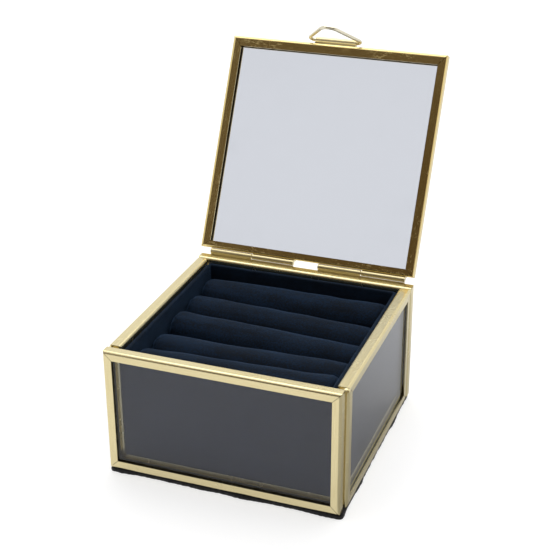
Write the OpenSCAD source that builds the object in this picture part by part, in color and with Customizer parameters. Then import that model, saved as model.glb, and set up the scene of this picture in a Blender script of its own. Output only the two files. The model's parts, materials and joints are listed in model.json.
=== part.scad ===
// Square glass jewellery box: brass channel frames, hinged lid with a pull ring,
// and a velvet tray of ring rolls. Millimetres, +Z up, the front of the box faces -Y.
// The origin is the centre of the felt pad's underside.

/* [Box] */
// Width of the box from side to side
box_w = 100; // [90:1:120]
// Depth of the box from front face to back face
box_d = 100; // [90:1:120]
// Height of the four walls, without the felt pad and the lid
wall_h = 54.3; // [45:0.1:70]
// Thickness of a wall, which is the width of the brass channel
panel_t = 5.2; // [4.6:0.1:6]
// How far the front panel stops short of the right face
front_short = 1.15; // [0:0.05:2]
// Gap between the front or back panel and the side panels
corner_gap = 0.8; // [0.4:0.1:1.2]

/* [Brass channel] */
// Height of a channel's flanges, measured from its outer edge
flange_w = 3.75; // [3:0.05:5]
// Thickness of the brass sheet
sheet_t = 0.6; // [0.4:0.1:0.8]
// Outside radius of a channel's two bends
bend_r = 1.2; // [0.7:0.05:1.3]
// Width of the open mitre line between two strips
mitre_gap = 0.16; // [0.1:0.02:0.3]

/* [Glass] */
// Thickness of each glass pane
glass_t = 3.4; // [2:0.1:3.6]
// Gap between a pane's edge and the web of its channel
glass_gap = 0.4; // [0.2:0.1:1]

/* [Lid] */
// Width of the lid
lid_w = 100.3; // [89:0.1:120]
// Depth of the lid from its hinged edge to its free edge
lid_d = 98; // [88:0.1:119]
// How far the lid sits to the right of the box's middle
lid_x = -1.05; // [-1.5:0.05:1.5]
// Flange height on the lid's free edge
lid_free_flange = 4.6; // [3:0.1:5]
// Flange height on the lid's right edge
lid_right_flange = 3.9; // [3:0.1:5]
// Flange height on the lid's hinged edge
lid_hinged_flange = 3.2; // [3:0.1:5]
// Flange height on the lid's left edge
lid_left_flange = 4.3; // [3:0.1:5]
// How far the lid stands open at rest, from closed
lid_open = 117.5; // [95:0.5:120]
// Gap between the closed lid and the rim of the box
lid_gap = 0.05; // [0.05:0.05:0.3]

/* [Hinges] */
// Outside radius of a hinge knuckle
knuckle_r = 1.2; // [1.1:0.05:1.3]
// Length of one knuckle
knuckle_l = 19.7; // [12:0.1:20]
// Gap between the two knuckles of a hinge
knuckle_gap = 0.5; // [0.3:0.1:1]
// Radius of the hinge pin
pin_r = 0.6; // [0.5:0.05:0.7]
// Half the distance between the middles of the two hinges
hinge_x = 25.75; // [22:0.05:28]
// How far the pair of hinges sits to the right of the box's middle
hinge_shift = -0.15; // [-1:0.05:1]
// Height of the leaf that fastens a knuckle to its panel
leaf_h = 4.2; // [3:0.1:4.4]

/* [Pull ring] */
// How far the pull sits to the right of the box's middle
pull_x = -2.8; // [-4:0.1:4]
// Length of the sleeve that holds the ring
sleeve_l = 19; // [12:0.1:20]
// Outside radius of the sleeve
sleeve_r = 1.4; // [1.2:0.05:1.6]
// Radius of the ring's wire
wire_r = 0.76; // [0.6:0.02:0.8]
// Half of the triangle's base, corner to corner on the wire's centre line
ring_half_w = 13.75; // [12:0.05:15]
// Height of the triangle to the corner its two sides would meet in
ring_h = 19.8; // [18:0.1:25]
// Bend radius at the triangle's two base corners
ring_corner_r = 2.2; // [1.6:0.1:3]
// Bend radius at the triangle's tip
ring_tip_r = 4.6; // [2:0.1:6]
// Lean of the ring away from the front of the closed box
ring_lean = 8.5; // [8:0.5:15]

/* [Tray] */
// Clearance between the tray and the walls
tray_gap = 0.4; // [0.3:0.1:1]
// How far the tray's rim lies below the brass rim
tray_drop = 2; // [1:0.1:4]
// Thickness of the tray's board
board_t = 1.2; // [0.8:0.1:2]
// Thickness of the velvet on the tray
velvet_t = 0.6; // [0.4:0.1:0.8]
// Radius of a ring roll
roll_r = 7.9; // [7:0.1:7.9]

/* [Felt pad] */
// Thickness of the felt pad
felt_t = 1.8; // [1:0.1:3]
// How far the felt pad lies inside the walls' faces
felt_inset = 0.5; // [0.5:0.1:4]

/* [Hidden] */
$fn = 64;
brass = [0.84, 0.77, 0.56];
glass = [0.75, 0.8, 0.85, 0.35];
board_colour = [0.16, 0.17, 0.2];
velvet = [0.08, 0.12, 0.18];
bottom_edge = 0;
right_edge = 1;
top_edge = 2;
left_edge = 3;
EDGES = ["bottom", "right", "top", "left"];
pin_play = 0.05;
ring_play = 0.08;

rim_z = felt_t + wall_h;
front_w = box_w - front_short;
side_d = box_d - 2 * (panel_t + corner_gap);
// The base panel lies between the walls, face to face with the front and back panels.
base_w = box_w - 2 * panel_t;
base_d = box_d - 2 * panel_t;

// Hinge axis, in the box's frame
hinge_y = box_d / 2 + 0.85;
hinge_z = rim_z + 1.05;
// The closed lid's hinged edge and underside
lid_back_y = hinge_y - knuckle_r - 0.08;
lid_front_y = lid_back_y - lid_d;
lid_z = rim_z + lid_gap;
leaf_t = 0.5;
LID_FLANGES = [lid_free_flange, lid_right_flange, lid_hinged_flange, lid_left_flange];
WALL_FLANGES = [flange_w, flange_w, flange_w, flange_w];

// Sleeve axis, in the box's frame with the lid closed
saddle_t = 0.6;
sleeve_y = lid_front_y - saddle_t - sleeve_r + 0.15;
sleeve_z = lid_z + panel_t / 2;

// Tray, from the top of the base panel to its rim
tray_w = box_w - 2 * (panel_t + tray_gap);
tray_d = box_d - 2 * (panel_t + tray_gap);
tray_z = felt_t + panel_t;
tray_rim_z = rim_z - tray_drop;
tray_h = tray_rim_z - velvet_t - tray_z;
lined_w = tray_w - 2 * (board_t + velvet_t);
lined_d = tray_d - 2 * (board_t + velvet_t);
roll_end_gap = 0.3;
roll_end_r = 3.2;
// Ring rolls, front to back: the axis's Y at its left and right end, and the height
// of the roll's top above the walls' foot at its left and right end
ROLLS = [
    [-35.0, -32.6, 49.0, 50.4],
    [-18.6, -16.4, 47.2, 47.6],
    [0.6, -0.4, 48.6, 46.8],
    [17.4, 16.4, 48.4, 47.0],
    [34.4, 34.6, 48.8, 49.2]
];
bed_top = felt_t + 30;

// ---- Shared shapes -------------------------------------------------------------

// Block from the Y axis along +X whose two long edges on that axis are rounded
module rounded_end(reach, width, radius) {
    translate([radius, 0]) square([reach - radius, width]);
    translate([0, radius]) square([radius, width - 2 * radius]);
    translate([radius, radius]) circle(radius);
    translate([radius, width - radius]) circle(radius);
}

// Cross-section of the U channel: its web on the Y axis, its flanges along +X
module channel_profile(flange) {
    difference() {
        rounded_end(flange, panel_t, bend_r);
        translate([sheet_t, sheet_t])
            rounded_end(flange, panel_t - 2 * sheet_t, bend_r - sheet_t);
    }
}

// Channel along X from 0 to length, its web at Y = 0. Each end is mitred to a
// neighbour whose flange height is start_flange or end_flange.
module mitred_channel(length, flange, start_flange, end_flange) {
    cut = mitre_gap / 2 * sqrt(2);
    intersection() {
        rotate([90, 0, 90]) linear_extrude(length) channel_profile(flange);
        linear_extrude(panel_t)
            polygon([
                [cut, 0], [length - cut, 0],
                [length - cut - end_flange, flange], [cut + start_flange, flange]
            ]);
    }
}

// One edge of a w by h panel that lies in the XY plane with its corner at the origin
module panel_strip(w, h, edge, flanges) {
    length = edge == bottom_edge || edge == top_edge ? w : h;
    corner = [[0, 0, 0], [w, 0, 0], [w, h, 0], [0, h, 0]][edge];
    translate(corner)
        rotate([0, 0, 90 * edge])
            mitred_channel(length, flanges[edge], flanges[(edge + 3) % 4], flanges[(edge + 1) % 4]);
}

// The pane of a w by h panel
module panel_glass(w, h) {
    inset = sheet_t + glass_gap;
    translate([inset, inset, (panel_t - glass_t) / 2])
        cube([w - 2 * inset, h - 2 * inset, glass_t]);
}

// ---- Where each panel stands ---------------------------------------------------

module at_front() {
    translate([-box_w / 2, -box_d / 2 + panel_t, felt_t]) rotate([90, 0, 0]) children();
}

module at_back() {
    translate([-box_w / 2, box_d / 2, felt_t]) rotate([90, 0, 0]) children();
}

module at_left() {
    translate([-box_w / 2, -side_d / 2, felt_t]) rotate([90, 0, 90]) children();
}

module at_right() {
    translate([box_w / 2 - panel_t, -side_d / 2, felt_t]) rotate([90, 0, 90]) children();
}

module at_base() {
    translate([-base_w / 2, -base_d / 2, felt_t]) children();
}

// Turns what is drawn for the closed lid to the lid's open rest pose
module on_open_lid() {
    translate([0, hinge_y, hinge_z])
        rotate([-lid_open, 0, 0])
            translate([0, -hinge_y, -hinge_z]) children();
}

module at_lid() {
    on_open_lid() translate([lid_x - lid_w / 2, lid_front_y, lid_z]) children();
}

// ---- Panels --------------------------------------------------------------------

module base_strip(edge) {
    color(brass) at_base() panel_strip(base_w, base_d, edge, WALL_FLANGES);
}

module base_glass() {
    color(glass) at_base() panel_glass(base_w, base_d);
}

module front_strip(edge) {
    color(brass) at_front() panel_strip(front_w, wall_h, edge, WALL_FLANGES);
}

module front_glass() {
    color(glass) at_front() panel_glass(front_w, wall_h);
}

module back_strip(edge) {
    color(brass) at_back() panel_strip(box_w, wall_h, edge, WALL_FLANGES);
}

module back_glass() {
    color(glass) at_back() panel_glass(box_w, wall_h);
}

module left_strip(edge) {
    color(brass) at_left() panel_strip(side_d, wall_h, edge, WALL_FLANGES);
}

module left_glass() {
    color(glass) at_left() panel_glass(side_d, wall_h);
}

module right_strip(edge) {
    color(brass) at_right() panel_strip(side_d, wall_h, edge, WALL_FLANGES);
}

module right_glass() {
    color(glass) at_right() panel_glass(side_d, wall_h);
}

module lid_strip(edge) {
    color(brass) at_lid() panel_strip(lid_w, lid_d, edge, LID_FLANGES);
}

module lid_glass() {
    color(glass) at_lid() panel_glass(lid_w, lid_d);
}

// Solder that fills the upright gap between neighbouring panels, set back from the faces
module corner_solder() {
    bead_l = 2.2;
    bead_inset = 1.75;
    bead_h = wall_h - 2;
    color(brass)
        for (side = [-1, 1], end = [-1, 1])
            translate([
                side * (box_w / 2 - bead_inset - bead_l / 2),
                end * (side_d / 2 + corner_gap / 2),
                felt_t + wall_h / 2
            ])
                cube([bead_l, corner_gap, bead_h], center = true);
}

// Felt glued under the walls and the base panel
module felt_pad() {
    color([0.03, 0.03, 0.035])
        translate([-box_w / 2 + felt_inset, -box_d / 2 + felt_inset, 0])
            cube([box_w - 2 * felt_inset, box_d - 2 * felt_inset, felt_t]);
}

// ---- Hinges --------------------------------------------------------------------

// Start of a knuckle along X: the box's knuckle is the left one of each pair
function hinge_middle(side) = hinge_shift + side * hinge_x;
function box_knuckle_x(side) = hinge_middle(side) - knuckle_gap / 2 - knuckle_l;
function lid_knuckle_x(side) = hinge_middle(side) + knuckle_gap / 2;

module knuckle_bore(start_x) {
    translate([start_x - 1, hinge_y, hinge_z])
        rotate([0, 90, 0]) cylinder(r = pin_r + pin_play, h = knuckle_l + 2);
}

// Knuckle on the box, its leaf against the back panel's outer face. The leaf's foot
// runs on under the lid's knuckle.
module box_knuckle(side) {
    start_x = box_knuckle_x(side);
    foot_drop = 0.2;
    color(brass)
        difference() {
            union() {
                translate([start_x, hinge_y, hinge_z])
                    rotate([0, 90, 0]) cylinder(r = knuckle_r, h = knuckle_l);
                translate([start_x, box_d / 2, rim_z - leaf_h])
                    cube([knuckle_l, leaf_t, leaf_h + hinge_z - rim_z]);
                translate([start_x, box_d / 2, rim_z - leaf_h])
                    cube([2 * knuckle_l + knuckle_gap, leaf_t, leaf_h - foot_drop]);
            }
            knuckle_bore(start_x);
        }
}

// Knuckle on the lid, its leaf against the web of the lid's hinged edge
module lid_knuckle(side) {
    start_x = lid_knuckle_x(side);
    leaf_foot = hinge_z - 0.2;
    color(brass) on_open_lid()
        difference() {
            union() {
                translate([start_x, hinge_y, hinge_z])
                    rotate([0, 90, 0]) cylinder(r = knuckle_r, h = knuckle_l);
                translate([start_x, lid_back_y, leaf_foot])
                    cube([knuckle_l, leaf_t, lid_z + panel_t - bend_r - leaf_foot]);
            }
            knuckle_bore(start_x);
        }
}

// Wire pin through both knuckles, held in the box's knuckle
module hinge_pin(side) {
    pin_l = 2 * knuckle_l + knuckle_gap;
    color(brass)
        translate([box_knuckle_x(side), hinge_y, hinge_z])
            rotate([0, 90, 0]) cylinder(r = pin_r, h = pin_l);
}

// ---- Pull ----------------------------------------------------------------------

// Rolled sleeve and its saddle plate on the lid's free edge
module pull_sleeve() {
    start_x = pull_x - sleeve_l / 2;
    saddle_h = 3.2;
    color(brass) on_open_lid()
        difference() {
            union() {
                translate([start_x, sleeve_y, sleeve_z])
                    rotate([0, 90, 0]) cylinder(r = sleeve_r, h = sleeve_l);
                translate([start_x, lid_front_y - saddle_t, sleeve_z - saddle_h / 2])
                    cube([sleeve_l, saddle_t, saddle_h]);
            }
            translate([start_x - 1, sleeve_y, sleeve_z])
                rotate([0, 90, 0]) cylinder(r = wire_r + ring_play, h = sleeve_l + 2);
        }
}

// Half angle of the triangle's base corners and of its tip
base_half_angle = atan2(ring_h, ring_half_w) / 2;
tip_half_angle = 90 - 2 * base_half_angle;
base_tangent = ring_corner_r / tan(base_half_angle);

// Bends of the wire in order: the base's right end, the tip, the base's left end.
// Each is its centre, its radius, the angle it starts at and the angle it turns.
// The straight runs are what joins one bend's last point to the next one's first.
base_half = ring_half_w - base_tangent;
base_turn = 180 - 2 * base_half_angle;
tip_turn = 180 - 2 * tip_half_angle;
bend_steps = 10;
WIRE_BENDS = [
    [[base_half, ring_corner_r], ring_corner_r, -90, base_turn],
    [[0, ring_h - ring_tip_r / sin(tip_half_angle)], ring_tip_r, tip_half_angle, tip_turn],
    [[-base_half, ring_corner_r], ring_corner_r, 270 - base_turn, base_turn]
];

// Triangle of wire in the XY plane, its base on the X axis and its tip at +Y
module wire_triangle() {
    sides = 24;
    count = len(WIRE_BENDS) * (bend_steps + 1);
    points = [
        for (bend = WIRE_BENDS, step = [0:bend_steps], side = [0:sides - 1])
            let (
                normal = bend[2] + bend[3] * step / bend_steps,
                turn = 360 * side / sides,
                reach = bend[1] + wire_r * cos(turn)
            )
                [
                    bend[0][0] + reach * cos(normal),
                    bend[0][1] + reach * sin(normal),
                    wire_r * sin(turn)
                ]
    ];
    skin = [
        for (index = [0:count - 1], side = [0:sides - 1])
            let (next_side = (side + 1) % sides, next = (index + 1) % count)
                [
                    index * sides + side, index * sides + next_side,
                    next * sides + next_side, next * sides + side
                ]
    ];
    polyhedron(points, skin);
}

// Drawn hanging in front of the closed box, leaning out by ring_lean
module pull_ring() {
    color(brass) on_open_lid()
        translate([pull_x, sleeve_y, sleeve_z])
            rotate([-90 - ring_lean, 0, 0]) wire_triangle();
}

// ---- Tray ----------------------------------------------------------------------

module tray_floor() {
    color(board_colour)
        translate([-tray_w / 2 + board_t, -tray_d / 2 + board_t, tray_z])
            cube([tray_w - 2 * board_t, tray_d - 2 * board_t, board_t]);
}

// Front wall for end = -1, back wall for end = 1
module tray_end_wall(end) {
    color(board_colour)
        translate([-tray_w / 2, end * (tray_d - board_t) / 2 - board_t / 2, tray_z])
            cube([tray_w, board_t, tray_h]);
}

// Left wall for side = -1, right wall for side = 1
module tray_side_wall(side) {
    color(board_colour)
        translate([side * (tray_w - board_t) / 2 - board_t / 2, -tray_d / 2 + board_t, tray_z])
            cube([board_t, tray_d - 2 * board_t, tray_h]);
}

// Velvet down the inside of the four walls and over their rims
module tray_velvet() {
    wall_top = tray_z + tray_h;
    lining_foot = tray_z + board_t;
    color(velvet)
        difference() {
            union() {
                translate([-tray_w / 2, -tray_d / 2, wall_top]) cube([tray_w, tray_d, velvet_t]);
                translate([-tray_w / 2 + board_t, -tray_d / 2 + board_t, lining_foot])
                    cube([
                        tray_w - 2 * board_t, tray_d - 2 * board_t,
                        wall_top - lining_foot + velvet_t
                    ]);
            }
            translate([-lined_w / 2, -lined_d / 2, tray_z])
                cube([lined_w, lined_d, tray_h + board_t]);
        }
}

// Foam block that carries the rolls
module foam_bed() {
    side_gap = 0.3;
    color([0.1, 0.1, 0.11])
        translate([-lined_w / 2 + side_gap, -lined_d / 2 + side_gap, tray_z + board_t])
            cube([
                lined_w - 2 * side_gap, lined_d - 2 * side_gap,
                bed_top - tray_z - board_t
            ]);
}

// Soft roll with rounded ends between its two end heights
module ring_roll(index) {
    ends = ROLLS[index];
    half_l = lined_w / 2 - roll_end_gap;
    yaw = atan2(ends[1] - ends[0], 2 * half_l);
    pitch = atan2(ends[3] - ends[2], 2 * half_l);
    middle_y = (ends[0] + ends[1]) / 2;
    middle_z = felt_t + (ends[2] + ends[3]) / 2 - roll_r;
    body_r = roll_r - roll_end_r;
    color(velvet)
        translate([0, middle_y, middle_z])
            rotate([0, -pitch, yaw])
                rotate([0, 90, 0])
                    rotate_extrude()
                        intersection() {
                            union() {
                                translate([0, -half_l]) square([body_r, 2 * half_l]);
                                translate([0, -half_l + roll_end_r])
                                    square([roll_r, 2 * (half_l - roll_end_r)]);
                                for (end = [-1, 1])
                                    translate([body_r, end * (half_l - roll_end_r)])
                                        circle(roll_end_r);
                            }
                            translate([0, -half_l]) square([roll_r + 1, 2 * half_l]);
                        }
}

// ---- Nodes ---------------------------------------------------------------------

for (edge = [bottom_edge:left_edge]) {
    base_strip(edge);
    front_strip(edge);
    back_strip(edge);
    left_strip(edge);
    right_strip(edge);
    lid_strip(edge);
}
for (index = [0:len(ROLLS) - 1])
    ring_roll(index);
felt_pad();
base_glass();
front_glass();
back_glass();
left_glass();
right_glass();
lid_glass();
corner_solder();
box_knuckle(-1);  // left_box_knuckle
lid_knuckle(-1);  // left_lid_knuckle
hinge_pin(-1);  // left_hinge_pin
box_knuckle(1);  // right_box_knuckle
lid_knuckle(1);  // right_lid_knuckle
hinge_pin(1);  // right_hinge_pin
pull_sleeve();
pull_ring();
tray_floor();
tray_end_wall(-1);  // tray_front_wall
tray_end_wall(1);  // tray_back_wall
tray_side_wall(-1);  // tray_left_wall
tray_side_wall(1);  // tray_right_wall
tray_velvet();
foam_bed();
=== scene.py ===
"""Finishes, soft goods and studio for a brass-edged glass ring box with a velvet tray.

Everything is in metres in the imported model's own frame: +Z up, the front of the box faces
-Y, and the lid stands open on its hinges at the back.
"""

import json
import math

import bmesh
import bpy
from bpy.props import FloatProperty, FloatVectorProperty, PointerProperty
from bpy.types import Operator, Panel, PropertyGroup
from mathutils import Matrix, Vector, noise


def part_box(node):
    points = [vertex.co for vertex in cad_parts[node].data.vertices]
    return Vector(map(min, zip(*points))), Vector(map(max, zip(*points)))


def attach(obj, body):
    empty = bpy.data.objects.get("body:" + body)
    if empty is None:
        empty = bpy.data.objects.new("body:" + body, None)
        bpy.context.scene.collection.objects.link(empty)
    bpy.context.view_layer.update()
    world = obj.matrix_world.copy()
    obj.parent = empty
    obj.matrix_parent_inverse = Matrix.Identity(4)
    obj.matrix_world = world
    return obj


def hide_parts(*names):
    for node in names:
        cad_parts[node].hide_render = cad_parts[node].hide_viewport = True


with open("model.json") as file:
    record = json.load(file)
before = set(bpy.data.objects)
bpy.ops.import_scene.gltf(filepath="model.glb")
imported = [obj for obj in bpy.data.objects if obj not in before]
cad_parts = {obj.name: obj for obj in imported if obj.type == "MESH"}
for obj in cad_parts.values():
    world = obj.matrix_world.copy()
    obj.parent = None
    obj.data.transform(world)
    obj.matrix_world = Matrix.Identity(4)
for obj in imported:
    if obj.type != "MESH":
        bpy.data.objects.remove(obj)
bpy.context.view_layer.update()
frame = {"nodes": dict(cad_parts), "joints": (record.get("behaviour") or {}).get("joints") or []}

bl_info = {
    "name": "Glass Ring Box",
    "version": (1, 0, 0),
    "blender": (4, 5, 0),
    "location": "View3D > Sidebar > Ring Box",
    "description": "Builds the finishes, velvet, felt, solder and studio of a glass ring box",
    "category": "Object",
}

MM = 0.001
ROLLS = 5
PANELS = ("front", "back", "left", "right", "base", "lid")
FLOAT, INTEGER, VECTOR, GEOMETRY = (
    "NodeSocketFloat", "NodeSocketInt", "NodeSocketVector", "NodeSocketGeometry"
)

JOINTS = {joint["name"]: joint for joint in frame["joints"]}
LID_OPEN = math.radians(JOINTS["lid_hinge"]["range_deg"][1])
HINGE = Vector(JOINTS["lid_hinge"]["pos_m"])
SLEEVE = Vector(JOINTS["ring_swing"]["pos_m"])


# ---- Sizes and colours a user would change ----


def length(name, description, default):
    """A size in metres, shown with its unit."""
    return FloatProperty(
        name=name, description=description, default=default, unit="LENGTH", precision=5
    )


def colour(name, description, default):
    """A linear RGB colour."""
    return FloatVectorProperty(
        name=name, description=description, default=default, subtype="COLOR",
        size=3, min=0.0, max=1.0,
    )


class RingBoxSizes(PropertyGroup):
    """Sizes of what is built on the frame."""

    lining_thickness: length("Lining", "Thickness of the velvet on the tray", 0.6 * MM)
    board_thickness: length("Board", "Thickness of the tray's board", 1.2 * MM)
    lining_corner: length("Lining corner", "Corner radius of the lined tray", 2.4 * MM)
    lining_drift: length("Lining drift", "How far the glued velvet wanders", 0.14 * MM)
    roll_swell: length("Roll swell", "Most that a roll's cover may swell", 0.55 * MM)
    roll_voxel: length("Roll voxel", "Grid size of a roll before its cloth is run", 1.5 * MM)
    roll_tuck: length("Roll tuck", "Depth of the gathers at a roll's ends", 0.45 * MM)
    felt_fray: length("Felt fray", "How far the cut edge of the felt wanders", 0.28 * MM)
    wire_radius: length("Wire", "Radius of the pull ring's wire", 0.76 * MM)
    ring_half_width: length("Ring half width", "Half of the ring's base", 13.75 * MM)
    ring_height: length("Ring height", "Height to where the ring's sides meet", 19.8 * MM)
    ring_corner: length("Ring corners", "Bend radius at the ring's base", 2.2 * MM)
    ring_tip: length("Ring tip", "Bend radius at the ring's tip", 4.6 * MM)
    drop_size: length("Solder drop", "Radius of a solder drop", 1.1 * MM)
    flange_width: length("Flange", "Height of a wall channel's flange", 3.75 * MM)
    seal_thickness: length("Seal depth", "Thickness of the seal beside the glass", 0.24 * MM)


class RingBoxColours(PropertyGroup):
    """Linear colours of the finishes."""

    brass: colour("Brass", "Pale polished brass", (0.74, 0.65, 0.39))
    brass_deep: colour("Brass, deep", "Brass in the brushed lines", (0.60, 0.49, 0.25))
    solder: colour("Solder", "Plated solder", (0.74, 0.66, 0.40))
    glass: colour("Glass", "Tint of the clear glass", (0.60, 0.62, 0.67))
    board: colour("Board", "Paper on the tray's outside", (0.003, 0.012, 0.050))
    velvet: colour("Velvet", "Velvet seen into the pile", (0.0010, 0.0030, 0.0068))
    velvet_tip: colour("Velvet tip", "Velvet seen along the pile", (0.0060, 0.0205, 0.0500))
    felt: colour("Felt", "Black felt", (0.006, 0.006, 0.007))
    felt_fibre: colour("Felt fibre", "Lighter fibres in the felt", (0.030, 0.030, 0.033))
    foam: colour("Foam", "Foam under the rolls", (0.006, 0.008, 0.012))
    floor: colour("Floor", "Pale floor", (0.52, 0.52, 0.52))


# ---- Node helpers ----


def feed(tree, node, inputs):
    """Links sockets to a node's inputs, by name or index, and sets plain values on them."""
    for key, value in inputs.items():
        socket = node.inputs[key]
        if isinstance(value, bpy.types.NodeSocket):
            tree.links.new(value, socket)
        else:
            socket.default_value = value
    return node


def add(tree, kind, inputs=None, **settings):
    """Adds a node, sets its properties, and links or sets its inputs."""
    node = tree.nodes.new(kind)
    for key, value in settings.items():
        setattr(node, key, value)
    return feed(tree, node, inputs or {})


def maths(tree, operation, *values):
    """The result of a Math node on one to three values or sockets."""
    node = add(tree, "ShaderNodeMath", dict(enumerate(values)), operation=operation)
    return node.outputs[0]


def remap(tree, value, low, high, to_low=0.0, to_high=1.0, smooth=False):
    """A value taken from the range low..high to to_low..to_high, and kept inside it."""
    inputs = {
        "Value": value, "From Min": low, "From Max": high, "To Min": to_low, "To Max": to_high,
    }
    curve = "SMOOTHSTEP" if smooth else "LINEAR"
    node = add(tree, "ShaderNodeMapRange", inputs, interpolation_type=curve)
    return node.outputs["Result"]


def blend_colour(tree, factor, first, second):
    """Colour between first and second, which are sockets or RGB colours."""
    low, high = (
        end if isinstance(end, bpy.types.NodeSocket) else (*end, 1.0)
        for end in (first, second)
    )
    node = add(tree, "ShaderNodeMix", {0: factor, 6: low, 7: high}, data_type="RGBA")
    return node.outputs[2]


def blend_value(tree, factor, first, second):
    """Number between first and second."""
    inputs = {0: factor, 2: first, 3: second}
    return add(tree, "ShaderNodeMix", inputs, data_type="FLOAT").outputs[0]


def uneven(tree, scale, detail, amount):
    """A vector that wanders with place, by up to about half of amount on each axis."""
    spot = tree.nodes.new("GeometryNodeInputPosition").outputs[0]
    texture = add(
        tree, "ShaderNodeTexNoise", {"Vector": spot, "Scale": scale, "Detail": detail}
    )
    middle = (0.5, 0.5, 0.5)
    centred = add(
        tree, "ShaderNodeVectorMath", {0: texture.outputs["Color"], 1: middle},
        operation="SUBTRACT",
    )
    scaled = add(
        tree, "ShaderNodeVectorMath", {0: centred.outputs[0], "Scale": amount},
        operation="SCALE",
    )
    return scaled.outputs[0]


def noise_at(tree, vector, scale, detail=2.0, roughness=0.5, distortion=0.0):
    """Noise between 0 and 1 at a vector."""
    inputs = {
        "Vector": vector, "Scale": scale, "Detail": detail,
        "Roughness": roughness, "Distortion": distortion,
    }
    return add(tree, "ShaderNodeTexNoise", inputs).outputs[0]


def stretched(tree, vector, scale, rotation=(0.0, 0.0, 0.0)):
    """A vector turned and then scaled, for streaked patterns."""
    turned = add(tree, "ShaderNodeMapping", {"Vector": vector, "Rotation": rotation})
    scaled = add(tree, "ShaderNodeMapping", {"Vector": turned.outputs[0], "Scale": scale})
    return scaled.outputs[0]


def node_group(name, inputs, outputs, kind="ShaderNodeTree"):
    """Turns a function that fills a node group into one that returns the named group."""

    def named(fill):
        def group():
            if name in bpy.data.node_groups:
                return bpy.data.node_groups[name]
            tree = bpy.data.node_groups.new(name, kind)
            for socket, socket_type, default in inputs:
                made = tree.interface.new_socket(socket, in_out="INPUT", socket_type=socket_type)
                if default is not None:
                    made.default_value = default
            for socket, socket_type in outputs:
                tree.interface.new_socket(socket, in_out="OUTPUT", socket_type=socket_type)
            results = fill(tree, tree.nodes.new("NodeGroupInput").outputs)
            feed(tree, tree.nodes.new("NodeGroupOutput"), results)
            return tree

        return group

    return named


def use_group(tree, group, inputs):
    """A node that holds a shader group, with its inputs linked or set."""
    return add(tree, "ShaderNodeGroup", inputs, node_tree=group)


# ---- Shared shader effects ----


@node_group(
    "Brushed Lines",
    [("Vector", VECTOR, None), ("Fineness", FLOAT, 9000.0), ("Contrast", FLOAT, 1.0)],
    [("Lines", FLOAT), ("Bands", FLOAT)],
)
def brushed_group(tree, enter):
    """Fine parallel lines along X of the vector, with slow bands across them."""
    middle = 0.5
    long_lines = stretched(tree, enter["Vector"], (0.012, 1.0, 1.0))
    lines = noise_at(tree, long_lines, enter["Fineness"], 2.0, 0.6)
    centred = maths(tree, "SUBTRACT", lines, middle)
    wavering = stretched(tree, enter["Vector"], (0.08, 1.0, 1.0))
    bands = noise_at(tree, wavering, 420.0, 3.0, 0.55)
    return {
        "Lines": maths(tree, "MULTIPLY_ADD", centred, enter["Contrast"], middle),
        "Bands": remap(tree, bands, 0.3, 0.7, smooth=True),
    }


@node_group(
    "Handling Marks",
    [("Vector", VECTOR, None), ("Scale", FLOAT, 90.0), ("Cover", FLOAT, 0.5)],
    [("Smudge", FLOAT), ("Scratch", FLOAT)],
)
def handling_group(tree, enter):
    """Smudges from handling and a few hairline scratches."""
    cloud = noise_at(tree, enter["Vector"], enter["Scale"], 4.0, 0.6, 0.4)
    edge = maths(tree, "SUBTRACT", 1.0, enter["Cover"])
    softness = 0.22
    slanted = stretched(tree, enter["Vector"], (1.0, 0.05, 0.05), (0.4, 0.3, 0.9))
    hair = remap(tree, noise_at(tree, slanted, 2600.0, 1.0, 0.4, 0.3), 0.70, 0.74)
    patch = remap(tree, noise_at(tree, enter["Vector"], 160.0, 1.0), 0.52, 0.62)
    return {
        "Smudge": remap(tree, cloud, edge, maths(tree, "ADD", edge, softness), smooth=True),
        "Scratch": maths(tree, "MULTIPLY", hair, patch),
    }


@node_group(
    "Short Pile",
    [("Vector", VECTOR, None), ("Tuft Scale", FLOAT, 3600.0), ("Drift Scale", FLOAT, 70.0)],
    [("Tuft", FLOAT), ("Stroke", FLOAT), ("Drift", FLOAT), ("Lint", FLOAT)],
)
def pile_group(tree, enter):
    """Short pile: fine tufts, streaks where it was stroked, slow drifts and some lint."""
    vector = enter["Vector"]
    stroke = noise_at(tree, stretched(tree, vector, (0.15, 1.0, 1.0)), 300.0, 2.0, 0.5, 0.2)
    drift = noise_at(tree, vector, enter["Drift Scale"], 3.0, 0.55, 0.6)
    specks = add(tree, "ShaderNodeTexVoronoi", {"Vector": vector, "Scale": 260.0})
    near_speck = remap(tree, specks.outputs["Distance"], 0.055, 0.03)
    rare = remap(tree, noise_at(tree, vector, 240.0, 1.0), 0.60, 0.66)
    return {
        "Tuft": noise_at(tree, vector, enter["Tuft Scale"], 2.0, 0.65),
        "Stroke": remap(tree, stroke, 0.32, 0.68, smooth=True),
        "Drift": remap(tree, drift, 0.34, 0.66, smooth=True),
        "Lint": maths(tree, "MULTIPLY", near_speck, rare),
    }


# ---- Materials ----


def palette():
    """The colours that the user has set."""
    return bpy.context.scene.ring_box_colours


def new_material(name):
    """An empty node material: (material, tree, object coordinates, Principled shader)."""
    material = bpy.data.materials.new(name)
    material.use_nodes = True
    tree = material.node_tree
    tree.nodes.clear()
    output = tree.nodes.new("ShaderNodeOutputMaterial")
    shader = tree.nodes.new("ShaderNodeBsdfPrincipled")
    tree.links.new(shader.outputs[0], output.inputs["Surface"])
    coordinates = tree.nodes.new("ShaderNodeTexCoord").outputs["Object"]
    return material, tree, coordinates, shader


def bump(tree, height, distance):
    """Normal from a height in 0..1 over a real distance."""
    inputs = {"Height": height, "Distance": distance, "Strength": 1.0}
    return add(tree, "ShaderNodeBump", inputs).outputs["Normal"]


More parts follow.
